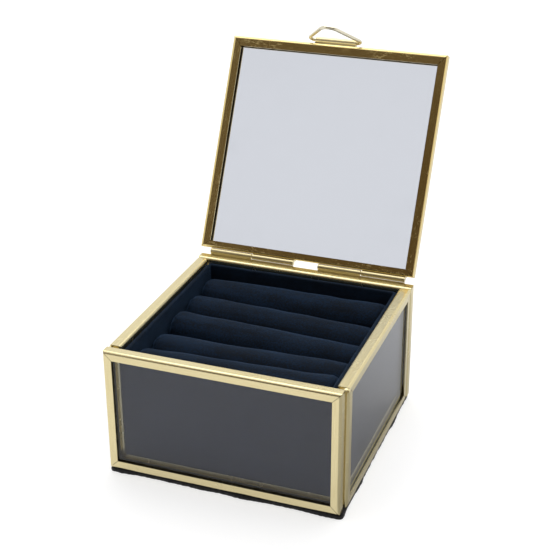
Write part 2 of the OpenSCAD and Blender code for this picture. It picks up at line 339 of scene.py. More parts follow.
def brass_finish(name, rotation, lines=1.0, dull=0.0, tone=(1.0, 1.0, 1.0), mottle=0.0):
    """Polished pale brass, brushed along what rotation turns onto X, with dull spots."""
    colours = palette()
    # tone tints the brass; on the lid's copies it is painted reflection and shade.
    pale, deep = (
        tuple(min(1.0, channel * share) for channel, share in zip(base, tone))
        for base in (colours.brass, colours.brass_deep)
    )
    material, tree, coordinates, shader = new_material(name)
    along = add(tree, "ShaderNodeMapping", {"Vector": coordinates, "Rotation": rotation})
    brushed = use_group(tree, brushed_group(), {"Vector": along.outputs[0], "Contrast": lines})
    marks = use_group(
        tree, handling_group(), {"Vector": coordinates, "Scale": 75.0, "Cover": 0.42}
    )
    in_lines = remap(tree, brushed.outputs["Lines"], 0.30, 0.62, 0.75, 0.0)
    base = blend_colour(tree, in_lines, pale, deep)
    for effect, share, shade in (
        (brushed.outputs["Bands"], 0.22, pale),
        (marks.outputs["Smudge"], 0.25, deep),
    ):
        base = blend_colour(tree, maths(tree, "MULTIPLY", effect, share), base, shade)
    shader.inputs["Metallic"].default_value = 1.0
    polish = 0.20
    patches = remap(tree, noise_at(tree, coordinates, 45.0, 1.0), 0.48, 0.58)
    fine = stretched(tree, along.outputs[0], (0.35, 1.0, 1.0))
    specks = remap(tree, noise_at(tree, fine, 900.0, 3.0, 0.7), 0.52, 0.62)
    rough = polish + dull
    for effect, share in (
        (brushed.outputs["Lines"], 0.10),
        (marks.outputs["Smudge"], 0.10),
        (marks.outputs["Scratch"], 0.18),
        (maths(tree, "MULTIPLY", specks, patches), mottle),
    ):
        rough = maths(tree, "MULTIPLY_ADD", effect, share, rough)
    scratch_depth = -1.2
    height = maths(
        tree, "MULTIPLY_ADD", marks.outputs["Scratch"], scratch_depth, brushed.outputs["Lines"]
    )
    feed(tree, shader, {
        "Base Color": base, "Roughness": rough, "Normal": bump(tree, height, 0.004 * MM),
    })
    return material


def solder_finish():
    """Plated solder: a little rougher than the sheet, with a cast ripple."""
    colours = palette()
    material, tree, coordinates, shader = new_material("plated_solder")
    ripple = noise_at(tree, coordinates, 900.0, 3.0, 0.6, 0.5)
    marks = use_group(
        tree, handling_group(), {"Vector": coordinates, "Scale": 260.0, "Cover": 0.5}
    )
    shader.inputs["Metallic"].default_value = 1.0
    feed(tree, shader, {
        "Base Color": blend_colour(tree, ripple, colours.solder, colours.brass_deep),
        "Roughness": maths(tree, "MULTIPLY_ADD", marks.outputs["Smudge"], 0.16, 0.16),
        "Normal": bump(tree, ripple, 0.06 * MM),
    })
    return material


def glass_finish():
    """Clear polished glass with a grey tint and faint wipe marks, that lets light in."""
    colours = palette()
    material, tree, coordinates, shader = new_material("clear_glass")
    marks = use_group(
        tree, handling_group(), {"Vector": coordinates, "Scale": 38.0, "Cover": 0.44}
    )
    wiped = tuple(channel * 0.97 for channel in colours.glass)
    tint = blend_colour(tree, marks.outputs["Smudge"], colours.glass, wiped)
    feed(tree, shader, {"Base Color": tint})
    shader.inputs["Roughness"].default_value = 0.0
    shader.inputs["Transmission Weight"].default_value = 1.0
    shader.inputs["IOR"].default_value = 1.45
    clear = add(tree, "ShaderNodeBsdfTransparent", {"Color": (0.86, 0.88, 0.90, 1.0)})
    shadow_ray = tree.nodes.new("ShaderNodeLightPath").outputs["Is Shadow Ray"]
    either = add(
        tree, "ShaderNodeMixShader", {0: shadow_ray, 1: shader.outputs[0], 2: clear.outputs[0]}
    )
    output = next(node for node in tree.nodes if node.type == "OUTPUT_MATERIAL")
    feed(tree, output, {"Surface": either.outputs[0]})
    return material


def board_finish():
    """Slate paper over greyboard, with a faint fibre."""
    colours = palette()
    material, tree, coordinates, shader = new_material("slate_paper")
    fibre = noise_at(tree, stretched(tree, coordinates, (0.05, 0.05, 1.0)), 900.0, 3.0, 0.6)
    cloud = noise_at(tree, coordinates, 55.0, 2.0)
    lighter = tuple(min(1.0, channel * 1.6) for channel in colours.board)
    paler = maths(tree, "MULTIPLY", fibre, cloud)
    feed(tree, shader, {
        "Base Color": blend_colour(tree, paler, colours.board, lighter),
        "Roughness": remap(tree, fibre, 0.3, 0.7, 0.62, 0.75),
        "Normal": bump(tree, fibre, 0.002 * MM),
    })
    return material


def velvet_finish(name, tuft_scale=3600.0, drift_scale=70.0, light=1.0):
    """Navy velvet: dark into the pile, paler and bluer along it."""
    colours = palette()
    material, tree, coordinates, shader = new_material(name)
    pile = use_group(
        tree, pile_group(),
        {"Vector": coordinates, "Tuft Scale": tuft_scale, "Drift Scale": drift_scale},
    )
    nap = pile.outputs["Tuft"]
    for effect in ("Stroke", "Drift"):
        nap = maths(tree, "MULTIPLY_ADD", pile.outputs[effect], 0.10, nap)
    # light dims the paler tip colour: painted shade, darker on the lining copy than on the roll
    # copy.
    tip = tuple(channel * light for channel in colours.velvet_tip)
    base = blend_colour(tree, remap(tree, nap, 0.48, 0.76), colours.velvet, tip)
    lint_colour = (0.045, 0.052, 0.068)
    shader.inputs["Specular IOR Level"].default_value = 0.15
    shader.inputs["Sheen Weight"].default_value = 0.22
    shader.inputs["Sheen Roughness"].default_value = 0.38
    shader.inputs["Sheen Tint"].default_value = (0.20, 0.42, 0.80, 1.0)
    feed(tree, shader, {
        "Base Color": blend_colour(tree, pile.outputs["Lint"], base, lint_colour),
        "Roughness": remap(tree, pile.outputs["Tuft"], 0.3, 0.7, 0.75, 0.95),
        "Normal": bump(tree, pile.outputs["Tuft"], 0.22 * MM),
    })
    return material


def felt_finish():
    """Black pressed felt with a few paler fibres."""
    colours = palette()
    material, tree, coordinates, shader = new_material("black_felt")
    fibres = noise_at(tree, coordinates, 2200.0, 4.0, 0.75, 1.2)
    pile = use_group(
        tree, pile_group(), {"Vector": coordinates, "Tuft Scale": 2600.0, "Drift Scale": 120.0}
    )
    base = blend_colour(
        tree, remap(tree, fibres, 0.48, 0.72), colours.felt, colours.felt_fibre
    )
    shader.inputs["Specular IOR Level"].default_value = 0.1
    shader.inputs["Sheen Weight"].default_value = 0.15
    shader.inputs["Sheen Roughness"].default_value = 0.6
    feed(tree, shader, {
        "Base Color": base,
        "Roughness": remap(tree, pile.outputs["Drift"], 0.0, 1.0, 0.86, 0.98),
        "Normal": bump(tree, fibres, 0.12 * MM),
    })
    return material


def foam_finish():
    """Open-cell foam."""
    colours = palette()
    material, tree, coordinates, shader = new_material("open_foam")
    cells = add(
        tree, "ShaderNodeTexVoronoi", {"Vector": coordinates, "Scale": 1400.0}
    ).outputs["Distance"]
    lighter = tuple(channel * 2.2 for channel in colours.foam)
    feed(tree, shader, {
        "Base Color": blend_colour(tree, remap(tree, cells, 0.2, 0.7), lighter, colours.foam),
        "Roughness": remap(tree, cells, 0.0, 1.0, 0.8, 0.95),
        "Normal": bump(tree, cells, 0.3 * MM),
    })
    return material


def painted_reflection_seal_finish():
    """Olive glazing seal, slightly uneven; its olive is painted reflection of the far brass
    flange seen through the glass.
    """
    material, tree, coordinates, shader = new_material("glazing_seal_painted_reflection")
    cloud = noise_at(tree, coordinates, 420.0, 3.0, 0.6)
    # Painted reflection: the olive stands in for the far brass flange as seen through the glass.
    dark, pale = (0.048, 0.038, 0.016), (0.080, 0.066, 0.028)
    feed(tree, shader, {
        "Base Color": blend_colour(tree, cloud, dark, pale),
        "Roughness": remap(tree, cloud, 0.3, 0.7, 0.35, 0.6),
        "Normal": bump(tree, cloud, 0.04 * MM),
    })
    return material


# ---- Object helpers ----


def place(name, mesh, material, smooth=True):
    """A finished piece at the origin, with its place in its mesh."""
    piece = bpy.data.objects.new(name, mesh)
    bpy.context.scene.collection.objects.link(piece)
    mesh.materials.clear()
    mesh.materials.append(material)
    mesh.polygons.foreach_set("use_smooth", [smooth] * len(mesh.polygons))
    return piece


def finish_node(name, material):
    """Gives a CAD node its finish without touching its mesh."""
    node = frame["nodes"][name]
    node.data.materials.clear()
    node.data.materials.append(material)


def plain_mesh(bm, name):
    """Turns a bmesh into a mesh as it is."""
    mesh = bpy.data.meshes.new(name)
    bm.to_mesh(mesh)
    bm.free()
    return mesh


def mesh_of(bm, name):
    """Turns a bmesh into a mesh whose faces all look outward."""
    bmesh.ops.recalc_face_normals(bm, faces=bm.faces[:])
    return plain_mesh(bm, name)


def copied_node(name):
    """A merged copy of a CAD node's mesh."""
    bm = bmesh.new()
    bm.from_mesh(frame["nodes"][name].data)
    bmesh.ops.remove_doubles(bm, verts=bm.verts[:], dist=0.002 * MM)
    return mesh_of(bm, name + "_copy")


def evaluated_mesh(piece):
    """A piece's mesh with its modifiers worked out."""
    depsgraph = bpy.context.evaluated_depsgraph_get()
    return bpy.data.meshes.new_from_object(piece.evaluated_get(depsgraph), depsgraph=depsgraph)


def applied(piece):
    """Replaces a piece's mesh by its evaluated one and removes its modifiers."""
    mesh = evaluated_mesh(piece)
    piece.modifiers.clear()
    piece.data = mesh


def grown(name, base_mesh, tree, inputs, material):
    """Runs a geometry tree on a mesh and keeps the result as a plain piece."""
    carrier = bpy.data.objects.new(name + "_carrier", base_mesh)
    bpy.context.scene.collection.objects.link(carrier)
    modifier = carrier.modifiers.new("Shape", "NODES")
    modifier.node_group = tree
    for item in tree.interface.items_tree:
        if item.item_type == "SOCKET" and item.in_out == "INPUT" and item.name in inputs:
            modifier[item.identifier] = inputs[item.name]
    mesh = evaluated_mesh(carrier)
    bpy.data.objects.remove(carrier)
    mesh.name = name
    return place(name, mesh, material)


def wander(point, scale, amount, seed=0.0):
    """A smooth offset along one axis that wanders by up to about amount."""
    return noise.noise(point * scale + Vector((seed, seed * 1.7, -seed))) * amount


def rounded_square(half_x, half_y, corner, steps_side, steps_corner):
    """Points and outward normals round a rectangle with rounded corners."""
    points = []
    corners = [(1, 1, 0.0), (-1, 1, 90.0), (-1, -1, 180.0), (1, -1, 270.0)]
    for index, (sign_x, sign_y, start) in enumerate(corners):
        centre = Vector((sign_x * (half_x - corner), sign_y * (half_y - corner), 0.0))
        for step in range(steps_corner + 1):
            angle = math.radians(start + 90.0 * step / steps_corner)
            normal = Vector((math.cos(angle), math.sin(angle), 0.0))
            points.append((centre + normal * corner, normal))
        next_x, next_y, _ = corners[(index + 1) % 4]
        target = Vector((next_x * (half_x - corner), next_y * (half_y - corner), 0.0))
        normal = points[-1][1].copy()
        for step in range(1, steps_side):
            spot = centre.lerp(target, step / steps_side)
            points.append((spot + normal * corner, normal))
    return points


def swept_loop(bm, path, profile, nudge):
    """Sweeps a closed profile of (inset, height) round a closed path; returns the rings."""
    rings = []
    for spot, normal in path:
        ring = []
        for inset, height in profile:
            point = spot - normal * inset + Vector((0.0, 0.0, height))
            point += nudge(point, normal, inset, height)
            ring.append(bm.verts.new(point))
        rings.append(ring)
    for index, ring in enumerate(rings):
        following = rings[(index + 1) % len(rings)]
        for side in range(len(profile)):
            other = (side + 1) % len(profile)
            bm.faces.new((ring[side], ring[other], following[other], following[side]))
    return rings


# ---- Geometry trees ----


@node_group(
    "Wire Along Path",
    [("Path", GEOMETRY, None), ("Radius", FLOAT, 0.5 * MM), ("Sides", INTEGER, 16)],
    [("Piece", GEOMETRY)],
    kind="GeometryNodeTree",
)
def sweep_tree(tree, enter):
    """Sweeps a round section along the edges of a mesh."""
    path = add(tree, "GeometryNodeMeshToCurve", {"Mesh": enter["Path"]})
    section = add(
        tree, "GeometryNodeCurvePrimitiveCircle",
        {"Resolution": enter["Sides"], "Radius": enter["Radius"]}, mode="RADIUS",
    )
    swept = add(
        tree, "GeometryNodeCurveToMesh",
        {"Curve": path.outputs["Curve"], "Profile Curve": section.outputs["Curve"]},
    )
    return {"Piece": swept.outputs[0]}


@node_group(
    "Solder Drops",
    [("Points", GEOMETRY, None), ("Radius", FLOAT, 1.0 * MM), ("Flatness", FLOAT, 0.5),
     ("Unevenness", FLOAT, 0.25 * MM), ("Seed", INTEGER, 11)],
    [("Piece", GEOMETRY)],
    kind="GeometryNodeTree",
)
def drops_tree(tree, enter):
    """A flattened, uneven drop on every point, its flat side along the point's normal."""
    smallest, largest = 0.75, 1.2
    ball = add(
        tree, "GeometryNodeMeshIcoSphere", {"Radius": enter["Radius"], "Subdivisions": 4}
    )
    normal = tree.nodes.new("GeometryNodeInputNormal").outputs[0]
    turned = add(tree, "FunctionNodeAlignRotationToVector", {"Vector": normal}, axis="Z")
    size = add(
        tree, "FunctionNodeRandomValue",
        {2: smallest, 3: largest, "Seed": enter["Seed"]}, data_type="FLOAT",
    ).outputs[1]
    scale = add(
        tree, "ShaderNodeCombineXYZ",
        {"X": size, "Y": size, "Z": maths(tree, "MULTIPLY", size, enter["Flatness"])},
    )
    drops = add(
        tree, "GeometryNodeInstanceOnPoints",
        {"Points": enter["Points"], "Instance": ball.outputs["Mesh"],
         "Rotation": turned.outputs[0], "Scale": scale.outputs[0]},
    )
    real = add(tree, "GeometryNodeRealizeInstances", {"Geometry": drops.outputs[0]})
    offset = uneven(tree, 620.0, 1.0, enter["Unevenness"])
    moved = add(
        tree, "GeometryNodeSetPosition", {"Geometry": real.outputs[0], "Offset": offset}
    )
    return {"Piece": moved.outputs[0]}


# ---- Operators ----


class RINGBOX_OT_stage(Operator):
    """Pale floor, soft studio light and the camera"""

    bl_idname = "ring_box.stage"
    bl_label = "Studio"

    def execute(self, context):
        self.floor()
        self.sky()
        self.lights()
        self.camera()
        context.scene.view_settings.view_transform = "Standard"
        return {"FINISHED"}

    def floor(self):
        """A wide plane that the felt pad rests on."""
        colours = palette()
        half = 30.0
        bm = bmesh.new()
        corners = [(-half, -half, 0), (half, -half, 0), (half, half, 0), (-half, half, 0)]
        bm.faces.new([bm.verts.new(corner) for corner in corners])
        material, tree, coordinates, shader = new_material("pale_floor")
        cloud = noise_at(tree, coordinates, 2.0, 2.0)
        darker = tuple(channel * 0.985 for channel in colours.floor)
        shader.inputs["Roughness"].default_value = 0.9
        shader.inputs["Specular IOR Level"].default_value = 0.0
        shader.inputs["Emission Color"].default_value = (1.0, 1.0, 1.0, 1.0)
        feed(tree, shader, {
            "Base Color": blend_colour(tree, cloud, colours.floor, darker),
            "Emission Strength": self.glow(tree, coordinates),
        })
        place("pale_floor", mesh_of(bm, "pale_floor"), material, smooth=False)

    def glow(self, tree, coordinates):
        """The floor glows a little; reflections see it dimmer to the right of the box."""
        plain, mirrored, dimming = 0.60, 0.54, 0.56
        parts = add(tree, "ShaderNodeSeparateXYZ", {0: coordinates}).outputs
        past_the_box = remap(tree, parts["X"], 0.046, 0.054, smooth=True)
        short_of_far = remap(tree, parts["X"], 0.30, 0.14, smooth=True)
        beside = maths(tree, "MULTIPLY", past_the_box, short_of_far)
        rising = remap(tree, parts["Y"], 0.0, 0.16, -1.0, -0.35)
        fall = maths(tree, "MULTIPLY", beside, rising)
        dimmer = maths(tree, "MULTIPLY_ADD", fall, dimming, mirrored)
        glossy = tree.nodes.new("ShaderNodeLightPath").outputs["Is Glossy Ray"]
        return blend_value(tree, glossy, plain, dimmer)

    def sky(self):
        """A white studio, bright behind, overhead and far left, and dark on the front side."""
        front_level, overhead_level, camera_level = 0.10, 0.95, 0.92
        amber, white = (1.0, 0.70, 0.36), (0.98, 0.99, 1.0)
        world = bpy.data.worlds.new("studio")
        bpy.context.scene.world = world
        world.use_nodes = True
        tree = world.node_tree
        tree.nodes.clear()
        direction = tree.nodes.new("ShaderNodeTexCoord").outputs["Generated"]
        parts = add(tree, "ShaderNodeSeparateXYZ", {0: direction}).outputs
        back = remap(tree, parts["Y"], -0.30, 0.25, front_level, 1.0, smooth=True)
        overhead = remap(tree, parts["Z"], 0.58, 0.84, smooth=True)
        left = remap(tree, parts["X"], -0.34, -0.64, smooth=True)
        above = maths(tree, "MULTIPLY", overhead, overhead_level)
        level = maths(tree, "MAXIMUM", maths(tree, "MAXIMUM", back, above), left)
        tint = blend_colour(tree, remap(tree, level, front_level, 0.55), amber, white)
        camera_ray = tree.nodes.new("ShaderNodeLightPath").outputs["Is Camera Ray"]
        background = add(
            tree, "ShaderNodeBackground",
            {"Color": tint, "Strength": blend_value(tree, camera_ray, level, camera_level)},
        )
        add(tree, "ShaderNodeOutputWorld", {"Surface": background.outputs[0]})

    def lights(self):
        """Large soft boxes: one overhead and behind, one low fill from the right."""
        lit_spot = Vector((0.0, 0.0, 0.05))
        for name, spot, size, power in (
            ("top_box", (-0.10, 0.35, 0.95), 0.9, 4.0),
            ("right_box", (0.95, -0.05, 0.55), 0.7, 1.0),
        ):
            light = bpy.data.lights.new(name, "AREA")
            light.size = size
            light.energy = power
            lamp = bpy.data.objects.new(name, light)
            lamp.location = spot
            aim = lit_spot - lamp.location
            lamp.rotation_euler = aim.to_track_quat("-Z", "Y").to_euler()
            bpy.context.scene.collection.objects.link(lamp)

    def camera(self):
        """Slightly above and to the right of the front, with a long lens."""
        azimuth, elevation, roll = (math.radians(a) for a in (20.48, 25.53, -0.30))
        target = Vector((4.12, 0.0, 75.56)) * MM
        distance = 517.0 * MM
        back = Vector((
            math.sin(azimuth) * math.cos(elevation),
            -math.cos(azimuth) * math.cos(elevation),
            math.sin(elevation),
        ))
        data = bpy.data.cameras.new("camera")
        data.lens = 83.43
        data.sensor_width = 36.0
        data.clip_start = 0.01
        data.clip_end = 100.0
        camera = bpy.data.objects.new("camera", data)
        turn = (-back).to_track_quat("-Z", "Y").to_matrix() @ Matrix.Rotation(roll, 3, "Z")
        camera.matrix_world = Matrix.Translation(target + back * distance) @ turn.to_4x4()
        bpy.context.scene.collection.objects.link(camera)
        bpy.context.scene.camera = camera


class RINGBOX_OT_brass(Operator):
    """Brushed brass on the channels, hinges and sleeve"""

    bl_idname = "ring_box.brass"
    bl_label = "Brass"

    def execute(self, context):
        quarter = math.radians(90.0)
        lid_rise = math.pi - LID_OPEN
        unturned = (0.0, 0.0, 0.0)
        along_x = brass_finish("brass_along_x", unturned)
        along_y = brass_finish("brass_along_y", (0.0, 0.0, -quarter))
        upright = brass_finish("brass_upright", (-quarter, 0.0, -quarter))
        # The lid's brass copies get a browner, deeper tone: painted reflection and shade,
        # standing in for the dark reflections that the lid's brass shows.
        lid_painted_shade_look = {"dull": -0.07, "tone": (1.03, 0.94, 0.72)}
        across_the_lid = brass_finish("brass_across_the_lid", unturned, mottle=0.13, **lid_painted_shade_look)
        up_the_lid = brass_finish(
            "brass_up_the_lid", (-lid_rise, 0.0, -quarter), mottle=0.09, **lid_painted_shade_look
        )
        turned = brass_finish("brass_turned", (0.0, quarter, 0.0), lines=0.6, dull=0.06)
        brass_finish("brass_wire", unturned, lines=0.4, dull=-0.06, tone=(1.05, 1.13, 1.5))
        solder = solder_finish()
        for panel in PANELS:
            level = {
                "left": along_y, "right": along_y, "lid": across_the_lid,
            }.get(panel, along_x)
            rising = {"base": along_y, "lid": up_the_lid}.get(panel, upright)
            for edge, finish in (
                ("bottom", level), ("top", level), ("left", rising), ("right", rising),
            ):
                finish_node(f"{panel}_{edge}_strip", finish)
        for side in ("left", "right"):
            for part in ("box_knuckle", "lid_knuckle", "hinge_pin"):
                finish_node(f"{side}_{part}", turned)
        finish_node("pull_sleeve", turned)
        finish_node("corner_solder", solder)
        return {"FINISHED"}


class RINGBOX_OT_glass(Operator):
    """Clear glass in every panel"""

    bl_idname = "ring_box.glass"
    bl_label = "Glass"

    def execute(self, context):
        glass = glass_finish()
        for panel in PANELS:
            finish_node(f"{panel}_glass", glass)
        return {"FINISHED"}


class RINGBOX_OT_tray(Operator):
    """Paper-covered boards and the foam under the rolls"""

    bl_idname = "ring_box.tray"
    bl_label = "Tray Boards and Foam"

    def execute(self, context):
        board = board_finish()
        for part in ("tray_floor", "tray_front_wall", "tray_back_wall",
                     "tray_left_wall", "tray_right_wall"):
            finish_node(part, board)
        self.foam()
        return {"FINISHED"}

    def foam(self):
        """A cut foam block with soft edges and an open skin."""
        low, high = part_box("foam_bed")
        inset = Vector((0.3, 0.3, 0.0)) * MM
        rounding, longest_edge, cuts = 0.8 * MM, 3.0 * MM, 5
        centre, half = (low + high) / 2, (high - low) / 2 - inset
        bm = bmesh.new()
        bmesh.ops.create_cube(bm, size=2.0)
        for vert in bm.verts:
            vert.co = Vector(a * b for a, b in zip(vert.co, half)) + centre
        bmesh.ops.bevel(
            bm, geom=bm.edges[:], offset=rounding, segments=2, affect="EDGES", profile=0.5
        )
        bmesh.ops.triangulate(bm, faces=bm.faces[:])
        for _ in range(cuts):
            long_edges = [e for e in bm.edges if e.calc_length() > longest_edge]
            bmesh.ops.subdivide_edges(bm, edges=long_edges, cuts=1, use_grid_fill=True)
        for vert in bm.verts:
            vert.co.z += wander(vert.co, 400.0, 0.25 * MM)
        bed = place("foam_block", mesh_of(bm, "foam_block"), foam_finish())
        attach(bed, "box")
        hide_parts("foam_bed")


class RINGBOX_OT_lining(Operator):
    """Velvet glued down the tray's walls and over their rims"""

    bl_idname = "ring_box.lining"
    bl_label = "Velvet Lining"

    def execute(self, context):
        sizes = context.scene.ring_box_sizes
        low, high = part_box("tray_velvet")
        half = (high - low) / 2
        board, skin = sizes.board_thickness, sizes.lining_thickness
        wall_top = high.z - skin
        inner = board + skin
        round_r = inner / 2
        fold_steps, rows = 10, 22
        flattening, clearance = 0.96, 0.02 * MM
        profile = [(0.0, wall_top)]
        for step in range(fold_steps + 1):
            angle = math.pi * (1.0 - step / fold_steps)
            profile.append((
                round_r + round_r * math.cos(angle),
                wall_top + skin * math.sin(angle) * flattening + clearance,
            ))
        fall = wall_top - low.z
        profile += [(inner, wall_top - fall * (row / rows)) for row in range(1, rows + 1)]
        profile += [(board, low.z), (board, wall_top)]
        drift = sizes.lining_drift

        def nudge(point, normal, inset, height):
            free = 1.0 if inset > board or height > wall_top + 0.1 * MM else 0.0
            inward = wander(point, 95.0, drift, 3.0) + wander(point, 420.0, drift * 0.35, 9.0)
            lift = wander(point, 120.0, drift * 0.8, 5.0) if height > wall_top else 0.0
            return (normal * -inward + Vector((0.0, 0.0, lift))) * free

        side_steps, corner_steps = 110, 6
        path = rounded_square(half.x, half.y, sizes.lining_corner, side_steps, corner_steps)
        bm = bmesh.new()
        swept_loop(bm, path, profile, nudge)
        # The lining's velvet is dimmed further than the rolls' velvet: painted shade.
        velvet = velvet_finish("lining_velvet", light=0.60)
        piece = place("velvet_lining", mesh_of(bm, "velvet_lining"), velvet)
        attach(piece, "box")
        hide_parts("tray_velvet")
        return {"FINISHED"}


class RINGBOX_OT_rolls(Operator):
    """Five foam rolls in velvet covers, filled out by a cloth simulation"""

    bl_idname = "ring_box.rolls"
    bl_label = "Ring Rolls"

    def execute(self, context):
        # The rolls' velvet tip colour is dimmed: painted shade.
        velvet = velvet_finish("roll_velvet", tuft_scale=1700.0, drift_scale=55.0, light=0.72)
        for number in range(1, ROLLS + 1):
            self.roll(number, velvet)
        return {"FINISHED"}

    def roll(self, number, velvet):
        """One roll: remeshed, swollen as cloth, gathered at its ends and creased."""
        sizes = bpy.context.scene.ring_box_sizes
        node = f"ring_roll_{number}"
        piece = place(f"velvet_roll_{number}", copied_node(node), velvet)
        remesh = piece.modifiers.new("Grid", "REMESH")
        remesh.mode = "VOXEL"
        remesh.voxel_size = sizes.roll_voxel
        applied(piece)
        self.swell(piece, sizes.roll_swell)
        subdivision = piece.modifiers.new("Round", "SUBSURF")
        subdivision.levels = subdivision.render_levels = 1
        applied(piece)
        self.gather(piece, node, number, sizes.roll_tuck)
        piece.data.polygons.foreach_set("use_smooth", [True] * len(piece.data.polygons))
        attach(piece, "box")
        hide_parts(node)

    def swell(self, piece, cap):
        """Runs the cover as cloth under a little pressure and caps how far it moves."""
        scene = bpy.context.scene
        frames = 20
        start = [vert.co.copy() for vert in piece.data.vertices]
        cloth = piece.modifiers.new("Cover", "CLOTH")
        cloth.settings.use_pressure = True
        cloth.settings.uniform_pressure_force = 4.0
        cloth.settings.effector_weights.gravity = 0.0
        cloth.settings.quality = 5
        cloth.point_cache.frame_start = 1
        cloth.point_cache.frame_end = frames
        for number in range(1, frames + 1):
            scene.frame_set(number)
        applied(piece)
        scene.frame_set(1)
        for vert, before in zip(piece.data.vertices, start):
            move = vert.co - before
            if move.length > cap:
                vert.co = before + move.normalized() * cap

    def gather(self, piece, node, number, tuck):
        """Gathers at both ends, and slow creases along the roll."""
        low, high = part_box(node)
        centre = (low + high) / 2
        half = (high.x - low.x) / 2
        radius = (high.z - low.z) / 2
        middle_share, pleats, tiny = 0.90, 11.0, 1e-6
        for vert in piece.data.vertices:
            along = (vert.co.x - centre.x) / half
            radial = Vector((0.0, vert.co.y - centre.y, vert.co.z - centre.z))
            reach = radial.length
            if reach < tiny:
                continue
            outward = radial / reach
            angle = math.atan2(outward.z, outward.y)
            near_end = max(0.0, (abs(along) - middle_share) / (1.0 - middle_share)) ** 1.5
            turn = pleats * angle + number * 1.3 + 2.0 * math.sin(3.0 * angle)
            pleat = 0.5 + 0.5 * math.cos(turn)
            inside = min(1.0, reach / radius * 1.3)
            push = -tuck * near_end * pleat * inside
            push += wander(vert.co, 60.0, 0.55 * MM, number) * (1.0 - near_end)
            push += wander(vert.co, 110.0, 0.10 * MM, number * 2.0)
            vert.co += outward * push


class RINGBOX_OT_felt(Operator):
    """Felt pad with a soft and uneven cut edge"""

    bl_idname = "ring_box.felt"
    bl_label = "Felt Pad"

    def execute(self, context):
        sizes = context.scene.ring_box_sizes
        low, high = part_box("felt_pad")
        half = (high - low) / 2
        fray = sizes.felt_fray
        thickness = high.z - low.z
        edge, rim_width, corner = 0.35 * MM, 6.0 * MM, 1.2 * MM
        edge_steps, side_steps, corner_steps = 6, 260, 5
        profile = [(rim_width, low.z), (edge, low.z)]
        for row in range(1, edge_steps):
            angle = math.pi * row / edge_steps
            profile.append((
                edge * (1.0 - math.sin(angle)),
                low.z + thickness / 2 * (1.0 - math.cos(angle)),
            ))
        profile += [(edge, high.z), (rim_width, high.z)]

        def nudge(point, normal, inset, height):
            if inset > edge:
                return Vector()
            patches = max(0.0, wander(point, 70.0, 1.8, 4.0)) + 0.05
            return normal * (wander(point, 700.0, fray, 1.0) + patches * 2.2 * fray)

        path = rounded_square(half.x, half.y, corner, side_steps, corner_steps)
        bm = bmesh.new()
        self.close(bm, swept_loop(bm, path, profile, nudge))
        piece = place("felt_base", mesh_of(bm, "felt_base"), felt_finish())
        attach(piece, "box")
        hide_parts("felt_pad")
        return {"FINISHED"}

    def close(self, bm, rings):
        """Replaces the sweep's hidden inner wall by a flat top and bottom."""
        lower = [ring[0] for ring in rings]
        upper = [ring[-1] for ring in rings]
        inner = {frozenset((a, b)) for a, b in zip(lower, upper)}
        walls = [
            face for face in bm.faces
            if sum(frozenset((e.verts[0], e.verts[1])) in inner for e in face.edges) == 2
        ]
        bmesh.ops.delete(bm, geom=walls, context="FACES_ONLY")
        bm.faces.new(lower)
        bm.faces.new(upper)


class RINGBOX_OT_pull(Operator):
    """Pull ring: a round wire swept along its bent triangle"""

    bl_idname = "ring_box.pull"
    bl_label = "Pull Ring"

    def execute(self, context):
        sizes = context.scene.ring_box_sizes
        piece = grown(
            "pull_ring_wire", self.path(sizes), sweep_tree(),
            {"Radius": sizes.wire_radius, "Sides": 28}, bpy.data.materials["brass_wire"],
        )
        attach(piece, "ring")
        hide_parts("pull_ring")
        return {"FINISHED"}

    def path(self, sizes):
        """The wire's closed centre line: a triangle with three bends, as it hangs at rest."""
        points = [vert.co - SLEEVE for vert in frame["nodes"]["pull_ring"].data.vertices]
        tip = max(points, key=lambda point: point.length)
        up = Vector((0.0, tip.y, tip.z)).normalized()
        half_w, height = sizes.ring_half_width, sizes.ring_height
        base_half_angle = math.atan2(height, half_w) / 2.0
        tip_half_angle = math.pi / 2.0 - 2.0 * base_half_angle
        base_x = half_w - sizes.ring_corner / math.tan(base_half_angle)
        tip_y = height - sizes.ring_tip / math.sin(tip_half_angle)
        base_turn = math.pi - 2.0 * base_half_angle
        tip_turn = math.pi - 2.0 * tip_half_angle
        corner, tip_bend = sizes.ring_corner, sizes.ring_tip
        bends = (
            (Vector((base_x, corner)), corner, -math.pi / 2.0, base_turn),
            (Vector((0.0, tip_y)), tip_bend, tip_half_angle, tip_turn),
            (Vector((-base_x, corner)), corner, 1.5 * math.pi - base_turn, base_turn),
        )
        steps = 24
        bm = bmesh.new()
        verts = []
        for centre, radius, start, turn in bends:
            for step in range(steps + 1):
                angle = start + turn * step / steps
                flat = centre + radius * Vector((math.cos(angle), math.sin(angle)))
                verts.append(bm.verts.new(SLEEVE + Vector((flat.x, 0.0, 0.0)) + up * flat.y))
        for index, vert in enumerate(verts):
            bm.edges.new((vert, verts[(index + 1) % len(verts)]))
        return plain_mesh(bm, "pull_ring_path")


